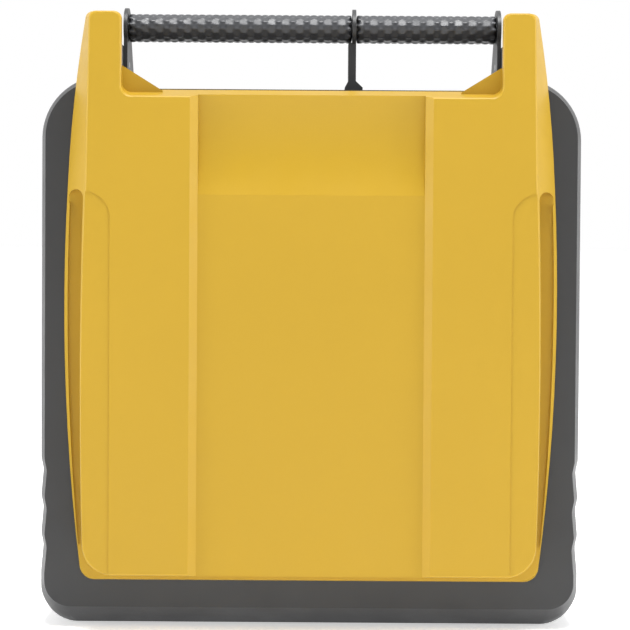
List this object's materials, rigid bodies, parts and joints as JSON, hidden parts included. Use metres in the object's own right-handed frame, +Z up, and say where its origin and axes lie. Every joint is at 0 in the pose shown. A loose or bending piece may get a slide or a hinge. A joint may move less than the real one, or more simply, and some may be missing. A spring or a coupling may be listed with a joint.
{
  "type": "semi-automatic external defibrillator",
  "caption": "Upright portable defibrillator with a pull-off front cover over its control panel, a fixed top handle and a rear battery module.",
  "frame": {"origin": "middle of the base, below the middle of the depth", "axes": "+Z up, -Y out of the front cover, +X to the right when facing the front"},
  "size_m": [0.2518, 0.09, 0.2885],
  "materials": {
    "yellow_plastic": "satin moulded plastic",
    "dark_plastic": "fine textured moulded plastic",
    "grip_rubber": "soft moulded elastomer",
    "black_plastic": "plain moulded plastic",
    "overlay_film": "printed polyester film",
    "window_glass": "clear",
    "screen": "display glass",
    "green_key": "moulded",
    "orange_key": "moulded",
    "white_plastic": "moulded",
    "blue_key": "moulded",
    "mesh_cloth": "woven acoustic mesh",
    "circuit_board": "solder resist on laminate",
    "steel": "zinc plated",
    "brass": "turned",
    "aluminium": "extruded",
    "magnet_nickel": "nickel plated",
    "pouch_foil": "metallised laminate film",
    "cell_sleeve": "shrink sleeve",
    "ferrite": "fired",
    "grey_plastic": "moulded",
    "green_lens": "clear tinted lens",
    "plate_foil": "satin foil, blank"
  },
  "bodies": {
    "root": {"front_housing": "dark_plastic", "rear_housing": "dark_plastic", "housing_gasket": "grip_rubber", "housing_screws": "steel", "housing_inserts": "brass", "handle_frame": "dark_plastic", "handle_grip_left": "grip_rubber", "handle_grip_right": "grip_rubber", "handle_screws": "steel", "handle_inserts": "brass", "side_grip_left": "grip_rubber", "side_grip_right": "grip_rubber", "cover_spring_clips": "steel", "panel_overlay": "overlay_film", "display_window": "window_glass", "display_module": "screen", "speaker": "black_plastic", "speaker_mesh": "mesh_cloth", "microphone": "black_plastic", "electrode_socket": "white_plastic", "socket_contacts": "brass", "keypad_mat": "grip_rubber", "panel_board": "circuit_board", "board_screws": "steel", "reed_switch": "black_plastic", "status_light": "green_lens", "main_board": "circuit_board", "hv_capacitor": "black_plastic", "capacitor_strap": "steel", "charge_transformer": "ferrite", "discharge_relay": "black_plastic", "discharge_inductor": "ferrite", "heat_sink": "aluminium", "ribbon_cable": "grey_plastic", "battery_contacts": "brass", "card_socket": "steel", "card_door_pin": "steel", "rear_feet": "grip_rubber", "rating_plate": "plate_foil"},
    "cover": {"front_cover": "yellow_plastic", "cover_seal": "grip_rubber", "cover_magnet": "magnet_nickel", "electrode_pouch": "pouch_foil", "pouch_clips": "black_plastic"},
    "power_key_body": {"power_key": "green_key"},
    "shock_key_body": {"shock_key": "orange_key", "shock_symbol": "white_plastic"},
    "info_key_body": {"info_key": "blue_key"},
    "mode_key_body": {"mode_key": "grey_plastic"},
    "battery_module": {"battery_case": "grey_plastic", "battery_terminals": "brass", "battery_cells": "cell_sleeve", "battery_lid": "dark_plastic"},
    "battery_screw_left_body": {"battery_screw_left": "steel"},
    "battery_screw_right_body": {"battery_screw_right": "steel"},
    "card_door_body": {"card_door": "dark_plastic"},
    "memory_card_body": {"memory_card": "black_plastic"}
  },
  "joints": [
    {"name": "cover_pull", "type": "slide", "parent": "root", "child": "cover", "axis": [0, -1, 0], "range_m": [0, 0.12]},
    {"name": "power_key_press", "type": "slide", "parent": "root", "child": "power_key_body", "axis": [0, 1, 0], "range_m": [0, 0.0015], "stiffness_N_per_m": 900},
    {"name": "shock_key_press", "type": "slide", "parent": "root", "child": "shock_key_body", "axis": [0, 1, 0], "range_m": [0, 0.002], "stiffness_N_per_m": 900},
    {"name": "info_key_press", "type": "slide", "parent": "root", "child": "info_key_body", "axis": [0, 1, 0], "range_m": [0, 0.0015], "stiffness_N_per_m": 900},
    {"name": "mode_key_press", "type": "slide", "parent": "root", "child": "mode_key_body", "axis": [0, 1, 0], "range_m": [0, 0.0015], "stiffness_N_per_m": 900},
    {"name": "battery_slide", "type": "slide", "parent": "root", "child": "battery_module", "axis": [0, 1, 0], "range_m": [0, 0.05]},
    {"name": "battery_screw_left_turn", "type": "hinge", "parent": "battery_module", "child": "battery_screw_left_body", "pos_m": [-0.086, 0.0425, 0.059], "axis": [0, 1, 0], "continuous": true},
    {"name": "battery_screw_right_turn", "type": "hinge", "parent": "battery_module", "child": "battery_screw_right_body", "pos_m": [0.086, 0.0425, 0.059], "axis": [0, 1, 0], "continuous": true},
    {"name": "card_door_hinge", "type": "hinge", "parent": "root", "child": "card_door_body", "pos_m": [0.059, 0.0421, 0.15], "axis": [0, 0, 1], "range_deg": [0, 105]},
    {"name": "memory_card_eject", "type": "slide", "parent": "root", "child": "memory_card_body", "axis": [0, 1, 0], "range_m": [0, 0.0025]}
  ]
}
